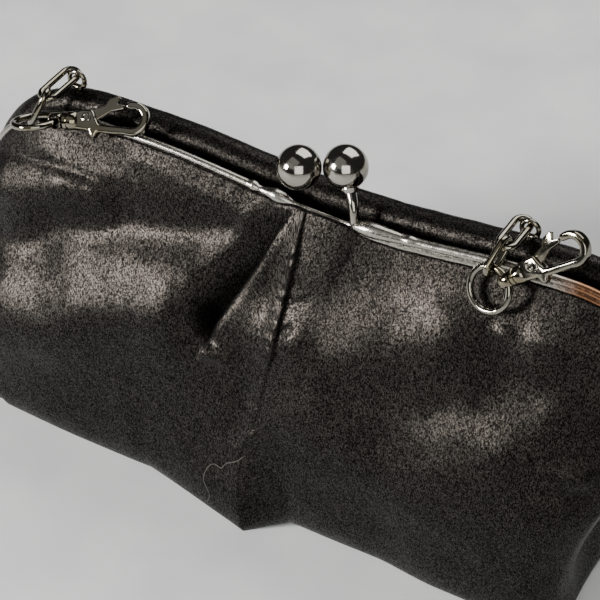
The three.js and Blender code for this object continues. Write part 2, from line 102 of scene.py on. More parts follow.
def combine(piece, tool, operation):
    applyModifier(piece, "BOOLEAN", object=tool, operation=operation, solver="EXACT")
    bpy.data.objects.remove(tool)


def roundEdges(piece, width, segments, overDeg=50):
    applyModifier(piece, "BEVEL", width=width * mm, segments=segments, limit_method="ANGLE",
                  angle_limit=math.radians(overDeg))


def copyOf(piece, name):
    pickOnly(piece)
    bpy.ops.object.duplicate()
    return nameNew(name)


def basis(along, face, origin):  # x along, z towards the face
    x = along.normalized()
    z = (face - x * face.dot(x)).normalized()
    return Matrix.Translation(origin * mm) @ Matrix((x, z.cross(x), z)).transposed().to_4x4()


def finishPiece(piece, material, nodes=(), body="bag", smooth=40):
    pickOnly(piece)
    bpy.ops.object.shade_smooth_by_angle(angle=math.radians(smooth))
    piece.data.materials.clear()
    piece.data.materials.append(material)
    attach(piece, body)
    if nodes:
        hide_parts(*nodes)
    return piece


# Straight numbers between two ends, and a smooth line through the rows of a table
def mix(low, high, share):
    return low + (high - low) * share


def clamp(value):
    return min(max(value, 0.0), 1.0)


def ease(value):
    value = clamp(value)
    return value * value * (3 - 2 * value)


def tableAt(table, at):
    last = len(table) - 1
    at = min(max(at, table[0][0]), table[last][0])
    k = next(i for i in range(last) if at <= table[i + 1][0])
    low, high = table[k], table[k + 1]
    before, after = table[max(k - 1, 0)], table[min(k + 2, last)]
    span = high[0] - low[0]
    s = (at - low[0]) / span
    result = []
    for c in range(1, len(low)):
        slopeLow = (high[c] - before[c]) / (high[0] - before[0]) * span
        slopeHigh = (after[c] - low[c]) / (after[0] - low[0]) * span
        result.append(
            (2 * s ** 3 - 3 * s ** 2 + 1) * low[c] + (s ** 3 - 2 * s ** 2 + s) * slopeLow
            + (3 * s ** 2 - 2 * s ** 3) * high[c] + (s ** 3 - s ** 2) * slopeHigh)
    return result if len(result) > 1 else result[0]


# A grid primitive laid onto closed rows of points in mm, and merged where each row meets itself
def wrapGrid(name, rows, cloth=None):
    across = len(rows[0]) + 1
    clearSelection()
    bpy.ops.mesh.primitive_grid_add(x_subdivisions=across - 1, y_subdivisions=len(rows) - 1, size=1)
    piece = nameNew(name)
    mesh = piece.data
    spots = []
    for row in rows:
        for i in range(across):
            spots.extend(value * mm for value in row[i % len(row)])
    mesh.vertices.foreach_set("co", spots)
    if cloth:  # cloth coordinates, in mm along and up the fabric
        corners = [0] * len(mesh.loops)
        mesh.loops.foreach_get("vertex_index", corners)
        flat = [value for corner in corners for value in cloth[corner // across][corner % across]]
        mesh.uv_layers.active.data.foreach_set("uv", flat)
    mesh.update()
    bpy.ops.object.mode_set(mode="EDIT")
    bpy.ops.mesh.select_all(action="SELECT")
    bpy.ops.mesh.remove_doubles(threshold=0.000001)
    bpy.ops.object.mode_set(mode="OBJECT")
    return piece


def closeEnds(piece):  # fills the open ends of a tube and turns its faces outwards
    pickOnly(piece)
    bpy.ops.object.mode_set(mode="EDIT")
    bpy.ops.mesh.select_all(action="SELECT")
    bpy.ops.mesh.fill_holes(sides=0)
    leaveOutwards()


# A turned piece: a filled circle drawn out along Z, step by step, as (along, radius) in mm
def turn(name, steps, sides=32):
    clearSelection()
    start, radius = steps[0]
    bpy.ops.mesh.primitive_circle_add(
        vertices=sides, radius=radius * mm, fill_type="NGON", location=(0, 0, start * mm))
    piece = nameNew(name)
    bpy.ops.object.transform_apply(location=True)
    bpy.ops.object.mode_set(mode="EDIT")
    bpy.ops.mesh.select_all(action="SELECT")
    for along, nextRadius in steps[1:]:
        bpy.ops.mesh.extrude_region_move(
            TRANSFORM_OT_translate={"value": (0, 0, (along - start) * mm)})
        bpy.ops.transform.resize(value=(nextRadius / radius, nextRadius / radius, 1))
        start, radius = along, nextRadius
    leaveOutwards()
    return piece


def torus(name, radius, thick, around, sides):
    clearSelection()
    bpy.ops.mesh.primitive_torus_add(
        major_radius=radius * mm, minor_radius=thick * mm, major_segments=around, minor_segments=sides)
    return nameNew(name)


# A round wire through points in mm, with a radius at each end
def wire(name, points, radiusStart, radiusEnd, sides=10):
    rows = []
    side = Vector((0.3, 0.5, 0.81))
    for i, point in enumerate(points):
        ahead = points[min(i + 1, len(points) - 1)] - points[max(i - 1, 0)]
        first = ahead.cross(side).normalized()
        second = ahead.cross(first).normalized()
        radius = mix(radiusStart, radiusEnd, i / (len(points) - 1))
        rows.append([
            point + first * radius * math.cos(2 * math.pi * k / sides)
            + second * radius * math.sin(2 * math.pi * k / sides) for k in range(sides)])
    piece = wrapGrid(name, rows)
    closeEnds(piece)
    return piece


def smoothPath(points, steps):  # a curve through the points, evenly stepped between each two
    path = []
    for i in range(len(points) - 1):
        a, b = points[max(i - 1, 0)], points[i]
        c, d = points[i + 1], points[min(i + 2, len(points) - 1)]
        for k in range(steps):
            s = k / steps
            path.append(0.5 * (
                2 * b + (c - a) * s + (2 * a - 5 * b + 4 * c - d) * s ** 2
                + (3 * b - a - 3 * c + d) * s ** 3))
    return path + [points[-1]]


# Colours and nodes
def linear(hexColour):  # sRGB hex to the linear colour that a node takes
    parts = [int(hexColour[i:i + 2], 16) / 255 for i in (1, 3, 5)]
    return tuple(p / 12.92 if p <= 0.04045 else ((p + 0.055) / 1.055) ** 2.4 for p in parts) + (1.0,)


def addNode(tree, kind, inputs=None, **settings):
    node = tree.nodes.new(kind)
    for key, value in settings.items():
        setattr(node, key, value)
    for key, value in (inputs or {}).items():
        if isinstance(value, bpy.types.NodeSocket):
            tree.links.new(value, node.inputs[key])
        else:
            node.inputs[key].default_value = value
    return node


def newMaterial(name):
    material = bpy.data.materials.new(name)
    material.use_nodes = True
    tree = material.node_tree
    return material, tree, tree.nodes["Principled BSDF"]


# Black duchesse satin, woven: a near-black ground whose long floats catch the light one by one, as a
# warm, grainy sheen. Its threads are about 0.15 mm apart, drawn here at 0.26 mm so that they show.
satinLook = {
    "ground": "#050505", "worn": "#0c0b0b", "lint": "#4a453f", "sheenTint": "#fff0e0",
    "threadMm": 0.26, "floatStretch": 0.62, "slantDeg": 48, "lintMm": 3.1, "patchMm": 34,
    "rarity": 2.3, "glintLow": 0.015, "glintHigh": 0.6, "tilt": 0.4, "bumpMm": 0.05, "roughness": 0.4,
}


def satinMaterial():
    material, tree, shader = newMaterial("black satin")
    uv = addNode(tree, "ShaderNodeTexCoord")
    slant = addNode(tree, "ShaderNodeMapping", {
        "Vector": uv.outputs["UV"], "Rotation": (0, 0, math.radians(satinLook["slantDeg"])),
        "Scale": (1.0, satinLook["floatStretch"], 1.0)})
    floats = addNode(tree, "ShaderNodeTexVoronoi", {
        "Vector": slant.outputs[0], "Scale": 1 / satinLook["threadMm"]}, feature="F1")
    shares = addNode(tree, "ShaderNodeSeparateColor", {"Color": floats.outputs["Color"]})
    patches = addNode(tree, "ShaderNodeTexNoise", {
        "Vector": uv.outputs["Object"], "Scale": 1000 / satinLook["patchMm"], "Detail": 3.0})
    lint = addNode(tree, "ShaderNodeTexVoronoi", {
        "Vector": uv.outputs["UV"], "Scale": 1 / satinLook["lintMm"]}, feature="F1")
    lintMask = addNode(tree, "ShaderNodeMapRange", {
        "Value": lint.outputs["Distance"], "From Min": 0.04, "From Max": 0.09, "To Min": 0.5, "To Max": 0.0})
    worn = addNode(tree, "ShaderNodeMapRange", {
        "Value": patches.outputs["Fac"], "From Min": 0.4, "From Max": 0.72, "To Min": 0.0, "To Max": 0.6})
    ground = addNode(tree, "ShaderNodeMix", {
        0: worn.outputs[0], 6: linear(satinLook["ground"]), 7: linear(satinLook["worn"])}, data_type="RGBA")
    colour = addNode(tree, "ShaderNodeMix", {
        0: lintMask.outputs[0], 6: ground.outputs[2], 7: linear(satinLook["lint"])}, data_type="RGBA")
    bright = addNode(tree, "ShaderNodeMath", {
        0: shares.outputs[0], 1: satinLook["rarity"]}, operation="POWER")
    glint = addNode(tree, "ShaderNodeMapRange", {
        "Value": bright.outputs[0], "To Min": satinLook["glintLow"], "To Max": satinLook["glintHigh"]})
    bump = addNode(tree, "ShaderNodeBump", {
        "Height": floats.outputs["Distance"], "Strength": satinLook["tilt"],
        "Distance": satinLook["bumpMm"] * mm})
    tree.links.new(colour.outputs[2], shader.inputs["Base Color"])
    tree.links.new(glint.outputs[0], shader.inputs["Specular IOR Level"])
    tree.links.new(bump.outputs[0], shader.inputs["Normal"])
    shader.inputs["Roughness"].default_value = satinLook["roughness"]
    shader.inputs["Specular Tint"].default_value = linear(satinLook["sheenTint"])
    return material


# Polished nickel plate on brass, rubbed by use: mirror bright, with soft scuffs, dull spots and a
# yellowish cast where the plate is thin, brown where it is gone at the bar's right end.
nickelLook = {
    "plate": "#a6a29a", "claspPlate": "#8b877d", "thin": "#7d745c", "spot": "#3d3629", "copper": "#85552f",
    "copperFrom": 75, "copperTo": 102, "copperRun": 9,
    "castMm": 9, "scuffMm": 1.6, "spotMm": 2.4, "bump": 0.05, "bumpMm": 0.3,
}


def nickelMaterial(name, plateColour, thinPlate, smooth, dull, copper=0.0):
    material, tree, shader = newMaterial(name)
    place = addNode(tree, "ShaderNodeTexCoord")
    cast = addNode(tree, "ShaderNodeTexNoise", {
        "Vector": place.outputs["Object"], "Scale": 1000 / nickelLook["castMm"], "Detail": 3.0})
    castMask = addNode(tree, "ShaderNodeMapRange", {
        "Value": cast.outputs["Fac"], "From Min": 0.42, "From Max": 0.66, "To Min": 0.0, "To Max": thinPlate})
    plate = addNode(tree, "ShaderNodeMix", {
        0: castMask.outputs[0], 6: linear(plateColour), 7: linear(nickelLook["thin"])}, data_type="RGBA")
    spots = addNode(tree, "ShaderNodeTexVoronoi", {
        "Vector": place.outputs["Object"], "Scale": 1000 / nickelLook["spotMm"]}, feature="F1")
    spotMask = addNode(tree, "ShaderNodeMapRange", {
        "Value": spots.outputs["Distance"], "From Min": 0.04, "From Max": 0.16,
        "To Min": 0.55, "To Max": 0.0})
    axes = addNode(tree, "ShaderNodeSeparateXYZ", {"Vector": place.outputs["Object"]})
    copperMask = addNode(tree, "ShaderNodeMapRange", {
        "Value": axes.outputs["X"], "From Min": nickelLook["copperFrom"] * mm,
        "From Max": (nickelLook["copperFrom"] + nickelLook["copperRun"]) * mm, "To Max": copper})
    copperEnd = addNode(tree, "ShaderNodeMapRange", {
        "Value": axes.outputs["X"], "From Min": nickelLook["copperTo"] * mm,
        "From Max": (nickelLook["copperTo"] + nickelLook["copperRun"]) * mm, "To Min": copper, "To Max": 0.0})
    patch = addNode(tree, "ShaderNodeMath", {
        0: copperMask.outputs[0], 1: copperEnd.outputs[0]}, operation="MINIMUM")
    rubbed = addNode(tree, "ShaderNodeMix", {
        0: patch.outputs[0], 6: plate.outputs[2], 7: linear(nickelLook["copper"])}, data_type="RGBA")
    colour = addNode(tree, "ShaderNodeMix", {
        0: spotMask.outputs[0], 6: rubbed.outputs[2], 7: linear(nickelLook["spot"])}, data_type="RGBA")
    scuffs = addNode(tree, "ShaderNodeTexNoise", {
        "Vector": place.outputs["Object"], "Scale": 1000 / nickelLook["scuffMm"],
        "Detail": 5.0, "Roughness": 0.7})
    rough = addNode(tree, "ShaderNodeMapRange", {
        "Value": scuffs.outputs["Fac"], "From Min": 0.4, "From Max": 0.68, "To Min": smooth, "To Max": dull})
    bump = addNode(tree, "ShaderNodeBump", {
        "Height": scuffs.outputs["Fac"], "Strength": nickelLook["bump"],
        "Distance": nickelLook["bumpMm"] * mm})
    tree.links.new(colour.outputs[2], shader.inputs["Base Color"])
    tree.links.new(rough.outputs[0], shader.inputs["Roughness"])
    tree.links.new(bump.outputs[0], shader.inputs["Normal"])
    shader.inputs["Metallic"].default_value = 1.0
    return material


# Cotton sewing thread, spun and dusty: a dull grey line on the black
threadLook = {"dark": "#2f2d2a", "pale": "#625e57", "spunMm": 1.111, "roughness": 0.85}


def threadMaterial():
    material, tree, shader = newMaterial("grey sewing thread")
    place = addNode(tree, "ShaderNodeTexCoord")
    spun = addNode(tree, "ShaderNodeTexNoise", {
        "Vector": place.outputs["Object"], "Scale": 1000 / threadLook["spunMm"]})
    colour = addNode(tree, "ShaderNodeMix", {
        0: spun.outputs["Fac"], 6: linear(threadLook["dark"]),
        7: linear(threadLook["pale"])}, data_type="RGBA")
    tree.links.new(colour.outputs[2], shader.inputs["Base Color"])
    shader.inputs["Roughness"].default_value = threadLook["roughness"]
    return material


satin = satinMaterial()
threadGrey = threadMaterial()
nickel = nickelMaterial("polished nickel plate", nickelLook["plate"], 0.35, 0.06, 0.2)
barNickel = nickelMaterial("rubbed nickel plate", nickelLook["plate"], 0.3, 0.2, 0.34, 0.85)
claspNickel = nickelMaterial("worn nickel plate", nickelLook["claspPlate"], 0.8, 0.06, 0.12)
print("materials made")

# Frame line, seen from the front, in mm: legs, round shoulders and a top bar that sags
frameLine = {
    "half": 120, "top": 114, "shoulder": 38, "hinge": 70, "belowHinge": 3,
    "sagDepth": 4.5, "sagMiddle": 8, "sagSpan": 72, "sagForward": 1.2,
    "frontY": -4.4, "rodY": 5.6, "rodInset": 0.8,
}
topHalf = frameLine["half"] - frameLine["shoulder"]
arcLength = frameLine["shoulder"] * math.pi / 2
halfToHinge = topHalf + arcLength + frameLine["top"] - frameLine["shoulder"] - frameLine["hinge"]


def sagShare(x):
    off = abs(x - frameLine["sagMiddle"]) / frameLine["sagSpan"]
    return math.cos(off * math.pi / 2) ** 2 if off < 1 else 0.0


def framePlace(distance, inset=0.0):
    side = -1 if distance < 0 else 1
    along = abs(distance)
    angle = min(max(along - topHalf, 0), arcLength) / frameLine["shoulder"]
    leg = max(along - topHalf - arcLength, 0)
    radius = frameLine["shoulder"] - inset
    x = side * (min(along, topHalf) + radius * math.sin(angle))
    z = (frameLine["top"] - frameLine["shoulder"] + radius * math.cos(angle) - leg
         - frameLine["sagDepth"] * sagShare(x))
    return Vector((x, 0, z)), Vector((side * math.sin(angle), 0, math.cos(angle)))


def frontY(x):
    return frameLine["frontY"] - frameLine["sagForward"] * sagShare(x)


def frameSteps(end, fine, wide, fineHalf=40):  # stations along the frame, close near the middle
    steps = [0.0]
    while steps[-1] < end:
        steps.append(steps[-1] + (fine if steps[-1] < fineHalf else wide))
    steps[-1] = end
    return [-step for step in reversed(steps[1:])] + steps


# Satin bag, in mm. Its belly hangs a little to the left of the frame
bagShape = {
    "halfWidth": 111, "shift": -13, "back": 36.9, "corner": 15, "startAboveHinge": 4, "panelHeight": 108,
    "gussetFold": 10, "wall": 1.2, "frontOfBar": 2.3, "underRoll": 5.3, "tuckSideways": 0.25,
    "clothLines": (-62, 40), "flapRoom": 7, "edgeRipple": 0.25, "edgeRippleMm": 5,
    "wallStart": 0.13, "wallRows": 90, "leftColumns": 96, "facetColumns": 16, "rightColumns": 84,
    "gussetColumns": 22, "backColumns": 56, "leftCrowd": 0.65, "rightCrowd": 0.5,
}
# Depth of the front belly at each x
frontDepths = [(-125, 28), (-112, 27), (-100, 25.8), (-58, 29.8), (-20, 31), (40, 31.6), (60, 34), (125, 34)]
# How far the cloth climbs the front bar at each x, above the frame line
clothClimb = [
    (-125, 0.4), (-80, 0.5), (-30, 0.5), (-22, 0.4), (-12, 0.7), (-6, 1.5), (6, 1.6), (11, 0.9), (16, -0.9),
    (30, -1.6), (60, -1.5), (95, -1.3), (125, -1.2),
]
# Height as a share of the wall, how far the wall has swung out to the belly, and its tuck at the base
wallLevels = [
    (0.0, 1.0, 7), (0.02, 1.0, 3.4), (0.07, 1.0, 0.7), (0.13, 1.0, 0), (0.21, 0.985, 0), (0.29, 0.95, 0),
    (0.37, 0.905, 0), (0.45, 0.845, 0), (0.53, 0.77, 0), (0.6, 0.69, 0), (0.67, 0.6, 0), (0.74, 0.5, 0),
    (0.81, 0.395, 0), (0.88, 0.27, 0), (0.95, 0.12, 0), (1.0, 0, 0),
]
# Soft folds of the front panel: places (x, z) that the fold passes, its rise, its spread and, for one that
# fades in, the share of the rise at its first place
folds = [
    # left ridge, and the line over it
    ([(-112, 86), (-104, 88), (-95, 91), (-84, 95), (-74, 96)], 2.8, 7),
    ([(-110, 97.5), (-104, 98.7), (-95, 100), (-86, 101), (-77, 100.8), (-69, 100)], -0.9, 1.5),
    # along the bar and down beside the pleat
    ([(-61, 110.5), (-52, 110), (-42.6, 108.3), (-30, 107.2), (-23.6, 105), (-21.8, 102.5), (-24.5, 97)],
     1.2, 2.4),
    # hollow, and the big soft bulge under it
    ([(-112, 67), (-103, 69), (-93.7, 74), (-86.8, 80.5), (-62, 89.5), (-38, 95), (-28, 99)], -3.2, 8),
    ([(-110, 42), (-86, 49), (-72, 57), (-58, 63), (-42, 67)], 6.5, 17),
    # rim of the pleat's valley, and the deepest part of the valley
    ([(-36, 86), (-34.5, 77), (-33.3, 71.8), (-32.9, 68.5), (-30.5, 63.9), (-25.9, 61), (-20.3, 60.2)],
     1.8, 2.4, 0.0),
    ([(-29.5, 72), (-27.5, 66)], -2.4, 3.2),
    # swell of the flap, and two pulled stitches
    ([(-7, 71), (-3, 74)], 2.2, 8.5),
    ([(-2.8, 83.7), (2.4, 86.7)], -0.6, 0.9),
    ([(-3.2, 75.2), (-0.3, 77.8)], -0.9, 1.3),
    # long ridge and broad swell of the right side
    ([(10, 73), (22, 78), (36, 84), (47, 91)], 2.9, 12),
    ([(14, 46), (85, 50)], 5.2, 23),
    # dent and pinch at the foot of the seam
    ([(-13, 50), (-15, 38)], -1.2, 5),
    ([(-11.5, 36), (-8.6, 39)], 1.0, 1.6),
    # below the right clasp
    ([(65.5, 98), (71.2, 94.8), (79.7, 90)], 1.4, 2.4),
    ([(77, 99), (92, 98.5)], 1.2, 5),
    # crease towards the right end, and the soft ground around it
    ([(82, 65), (91, 63.8), (98, 62.8)], 1.8, 2.8, 0.0),
    ([(86, 57.5), (98, 57)], -1.1, 3),
    ([(60, 68), (73, 66)], 0.9, 6),
    ([(30, 42), (62, 33)], 0.7, 8),
]
clothLumps = [(19, 0.9), (7.5, 0.22)]  # size and rise of the cloth's unevenness
# Pleat: x of its free folded edge at each height, how open it is there, and the cloth across it:
# mm from that edge, how far the cloth leans to the right, and how far it stands out
creaseLine = [
    (0, -36), (40, -33), (52, -30), (62, -27.4), (69.8, -24.2), (76, -21.6), (81.6, -18.9), (91.3, -14.2),
    (99.2, -11.2), (106, -7.9), (113, -4.2), (118, -3.4),
]
pleatOpen = [
    (0, 0), (56, 0), (60, 0.2), (64, 0.6), (68, 0.95), (75, 1), (84, 0.9), (94, 0.72), (102, 0.58),
    (109, 0.45), (118, 0.3),
]
pleatRoll = [
    (-34, 0, 0), (-24, 0, 0.5), (-17, 0, 1.0), (-12.5, 0, 0.6), (-9.5, 0.1, -0.7), (-7, 0.2, -2.5),
    (-4.8, 0.5, -4.5), (-3, 1.0, -6.0), (-1.8, 1.6, -6.8), (-1, 1.8, -6.5), (-0.5, 0.8, -4.8),
    (-0.2, -0.5, -2.6), (0.2, -1.2, -0.8), (0.7, -1.0, 0.4), (1.4, -0.4, 0.9), (2.4, 0, 1.0), (3, 0, 1.0),
]
# Columns of the cloth near that edge, and near the seam, in mm from them
bandSteps = [-3.4, -2.7, -2.1, -1.6, -1.25, -0.9, -0.7, -0.5, -0.35, -0.2, 0, 0.2, 0.45, 0.7, 1.05, 1.5, 2.2]
seamSteps = [-1.2, -0.7, -0.35, -0.1, 0.1, 0.3, 0.55, 0.9, 1.4]
# Centre seam: its x at each height, and the sewn edge across it, mm from the seam and its rise
seamLine = [
    (0, -10.3), (4, -10.4), (13, -11.5), (28, -12), (32, -11.7), (37, -10.2), (43, -8.3), (53, -6.8),
    (60, -5.8), (66, -4.3), (75, -3.9), (88, -3.7), (95, -3.1), (107, -3.4), (113, -2.5), (118, -2.3),
]
seamEdge = [
    (-7, 0), (-5, 0.15), (-3, 0.65), (-1.2, 1.1), (-0.3, 1.15), (0, 0.8), (0.3, -0.1), (0.7, -0.35),
    (1.6, -0.25), (4, -0.05), (14, 0),
]
seamPucker = {"sizeMm": 1.9, "share": 1.1, "lowAt": 58, "lowRun": 14, "lowShare": 0.3, "topShare": 0.45}
farOff = 99.0  # for points that the pleat or the seam doesn't reach
# How steeply folds, pleat and seam fade in from the bar and from the foot, by share of the wall's height
fadeSteep = {"foldTop": 9, "foldFoot": 8, "pleatTop": 16, "seamTop": 7, "seamFoot": 12}
# Loose thread below the seam: places (x, z) that it passes, and its height over the cloth
looseThread = {
    "places": [(-11, 30), (-13, 27.6), (-17, 24.5), (-18.8, 22), (-21.8, 22), (-24.1, 19.2), (-25, 14.5),
               (-22.7, 9.6), (-24.1, 5.1)],
    "radius": 0.13, "clear": 0.2,
}
dart = {"rise": 8, "left": 40, "right": 13, "height": 48, "untuck": 0.6}  # point of cloth at the seam's foot
clothEnd = halfToHinge - bagShape["startAboveHinge"]
bellyStraight = bagShape["halfWidth"] - bagShape["corner"]
bellyCorner = bagShape["corner"] * math.pi / 4


def bellyPlace(distance, depth):
    side = -1 if distance < 0 else 1
    along = abs(distance)
    corner = bagShape["corner"]
    angle = min(max(along - bellyStraight, 0) / corner, math.pi / 2)
    rest = max(along - bellyStraight - corner * math.pi / 2, 0)
    return Vector((
        bagShape["shift"] + side * (min(along, bellyStraight) + corner * math.sin(angle)),
        -depth + corner * (1 - math.cos(angle)) + rest, 0))


def bellyDistance(station):
    along = abs(station)
    if along <= topHalf:
        return station * bellyStraight / topHalf
    side = -1 if station < 0 else 1
    return side * (bellyStraight + bellyCorner * (along - topHalf) / (clothEnd - topHalf))


def column(station, back):  # top edge of the cloth and its place on the belly
    if back:
        place, out = framePlace(station, frameLine["rodInset"])
        top = place + out * -bagShape["underRoll"] + Vector((0, frameLine["rodY"], 0))
        wide = bellyPlace(bellyDistance(station), bagShape["back"])
        wide.y *= -1
        return top, wide
    place, out = framePlace(station)
    ripple = noise.noise(Vector((place.x / bagShape["edgeRippleMm"], 3.1, 0)))
    climb = tableAt(clothClimb, place.x) + bagShape["edgeRipple"] * ripple
    top = place + out * climb + Vector((0, frontY(place.x) - bagShape["frontOfBar"], 0))
    return top, bellyPlace(bellyDistance(station), tableAt(frontDepths, place.x))


def foldRise(x, z):
    rise = 0.0
    for places, height, spread, *start in folds:
        near, passed = 1e9, 0.0
        for k, ((ax, az), (bx, bz)) in enumerate(zip(places, places[1:])):
            share = clamp(((x - ax) * (bx - ax) + (z - az) * (bz - az)) / ((bx - ax) ** 2 + (bz - az) ** 2))
            gap = (x - mix(ax, bx, share)) ** 2 + (z - mix(az, bz, share)) ** 2
            if gap < near:
                near, passed = gap, k + share
        if near < 9 * spread ** 2:
            fade = mix(start[0], 1.0, ease(passed / 2)) if start else 1.0
            rise += height * fade * math.exp(-near / spread ** 2)
    return rise


def dartShare(x, z):
    off = x - seamLine[0][1]
    across = clamp(1 - (-off / dart["left"] if off < 0 else off / dart["right"]))
    return across * clamp(1 - z / dart["height"])


def wallPoint(top, wide, height, front=False, offCrease=farOff, offSeam=farOff, facet=0.0):
    reach, tuck = tableAt(wallLevels, height)
    point = Vector((mix(top.x, wide.x, reach), mix(top.y, wide.y, reach), top.z * height))
    inward = Vector(((bagShape["shift"] - wide.x) * bagShape["tuckSideways"], -wide.y, 0)).normalized()
    pointed = dartShare(point.x, point.z) if front else 0.0
    point += inward * (tuck * (1 - dart["untuck"] * pointed) - dart["rise"] * pointed)
    lump = sum(noise.noise(point / size) * stand for size, stand in clothLumps)
    settled = clamp((1 - height) * fadeSteep["foldTop"]) * clamp(height * fadeSteep["foldFoot"])
    step = 0.01  # share of the height over which the wall's lean is read
    low, high = tableAt(wallLevels, height - step)[0], tableAt(wallLevels, height + step)[0]
    lean = (wide.y - top.y) * (high - low) / (2 * step * max(top.z, 1))
    normal = Vector((0, -1 if front else 1, lean if front else -lean)).normalized()
    if not front:
        return point + normal * lump * settled
    x, z = point.x, point.z
    rise = (foldRise(x, z) + lump) * settled
    opened = tableAt(pleatOpen, z) * ease((1 - height) * fadeSteep["pleatTop"])
    narrow = clamp((tableAt(seamLine, z) - tableAt(creaseLine, z)) / bagShape["flapRoom"])
    if offCrease < pleatRoll[-1][0]:
        over, stand = tableAt(pleatRoll, offCrease)
        point.x += over * opened * narrow
        rise += stand * opened * mix(narrow, 1, 0.5)
    elif facet < 1:  # the flap, from its free edge to the seam
        rise += pleatRoll[-1][2] * (1 - facet) * opened * mix(narrow, 1, 0.5)
    if seamEdge[0][0] < offSeam < seamEdge[-1][0]:
        loose = noise.noise(Vector((z / seamPucker["sizeMm"], 5, 1))) * clamp(1.5 + offSeam / 2)
        pucker = 1 + seamPucker["share"] * loose
        pucker *= mix(seamPucker["lowShare"], 1, ease((z - seamPucker["lowAt"]) / seamPucker["lowRun"]))
        pucker *= mix(seamPucker["topShare"], 1, ease((1 - height) * fadeSteep["seamTop"]))
        rise += tableAt(seamEdge, offSeam) * pucker * clamp(height * fadeSteep["seamFoot"])
    return point + normal * rise


def frontRow(height):  # stations of one row, closer together at the crease and at the seam
    z = bagShape["panelHeight"] * height
    reach = tableAt(wallLevels, height)[0]
    spread = 1 + (bellyStraight / topHalf - 1) * reach
    crease = (tableAt(creaseLine, z) - bagShape["shift"] * reach) / spread
    seam = (tableAt(seamLine, z) - bagShape["shift"] * reach) / spread
    band = min(1.0, (seam - crease) / bagShape["flapRoom"])
    row = []
    length = crease + bandSteps[0] * band + clothEnd
    for i in range(bagShape["leftColumns"]):
        u = 1 - i / bagShape["leftColumns"]
        off = length * mix(u, u * u, bagShape["leftCrowd"])
        row.append((crease + bandSteps[0] * band - off, bandSteps[0] - off, farOff, 1.0))
    row += [(crease + step * band, step, farOff, 1.0) for step in bandSteps]
    start, end = crease + bandSteps[-1] * band, seam + seamSteps[0] * band
    for i in range(1, bagShape["facetColumns"] + 1):
        station = mix(start, end, i / (bagShape["facetColumns"] + 1))
        row.append((station, farOff, station - seam, i / (bagShape["facetColumns"] + 1)))
    row += [(seam + step * band, farOff, step, 1.0) for step in seamSteps]
    start = seam + seamSteps[-1] * band
    for i in range(1, bagShape["rightColumns"] + 1):
        u = i / bagShape["rightColumns"]
        station = start + (clothEnd - start) * mix(u, u * u, bagShape["rightCrowd"])
        row.append((station, farOff, station - seam, 1.0))
    return row


def bagRow(height):  # one row of cloth all round, from the front's left end
    points = []
    for station, offCrease, offSeam, facet in frontRow(height):
        top, wide = column(station, False)
        points.append(wallPoint(top, wide, height, True, offCrease, offSeam, facet))
    backs = [clothEnd * (1 - 2 * i / bagShape["backColumns"]) for i in range(bagShape["backColumns"] + 1)]
    sides = {}
    for side in (1, -1):
        (frontTop, _), (backTop, _) = column(side * clothEnd, False), column(side * clothEnd, True)
        sides[side] = []
        for i in range(1, bagShape["gussetColumns"]):
            share = i / bagShape["gussetColumns"]
            depth = bagShape["back"] if share > 0.5 else tableAt(frontDepths, side * frameLine["half"])
            length = 2 * (bellyCorner + depth - bagShape["corner"])
            wide = bellyPlace(side * (bellyStraight + bellyCorner + length * min(share, 1 - share)), depth)
            if share > 0.5:
                wide.y *= -1
            point = wallPoint(frontTop.lerp(backTop, share), wide, height)
            fold = bagShape["gussetFold"] * math.sin(math.pi * share) ** 1.3 * math.sin(math.pi * height)
            point.x -= side * fold
            sides[side].append(point)
    points += sides[1]
    points += [wallPoint(*column(station, True), height) for station in backs]
    points += list(reversed(sides[-1]))
    return points


def crossing(row, along, x):  # how far along a row it passes this x
    for i in range(len(row) - 1):
        if row[i].x <= x < row[i + 1].x:
            return mix(along[i], along[i + 1], (x - row[i].x) / (row[i + 1].x - row[i].x))
    return 0.0


def makeThread(bag):  # lies on the cloth below the seam
    points = []
    for x, z in looseThread["places"]:
        _, spot, out, _ = bag.ray_cast(Vector((x, -80, z)) * mm, Vector((0, 1, 0)))
        points.append(spot / mm + out * looseThread["clear"])
    thread = wire("loose_thread", smoothPath(points, 8), looseThread["radius"], looseThread["radius"], 6)
    thread.data.materials.append(threadGrey)
    return thread


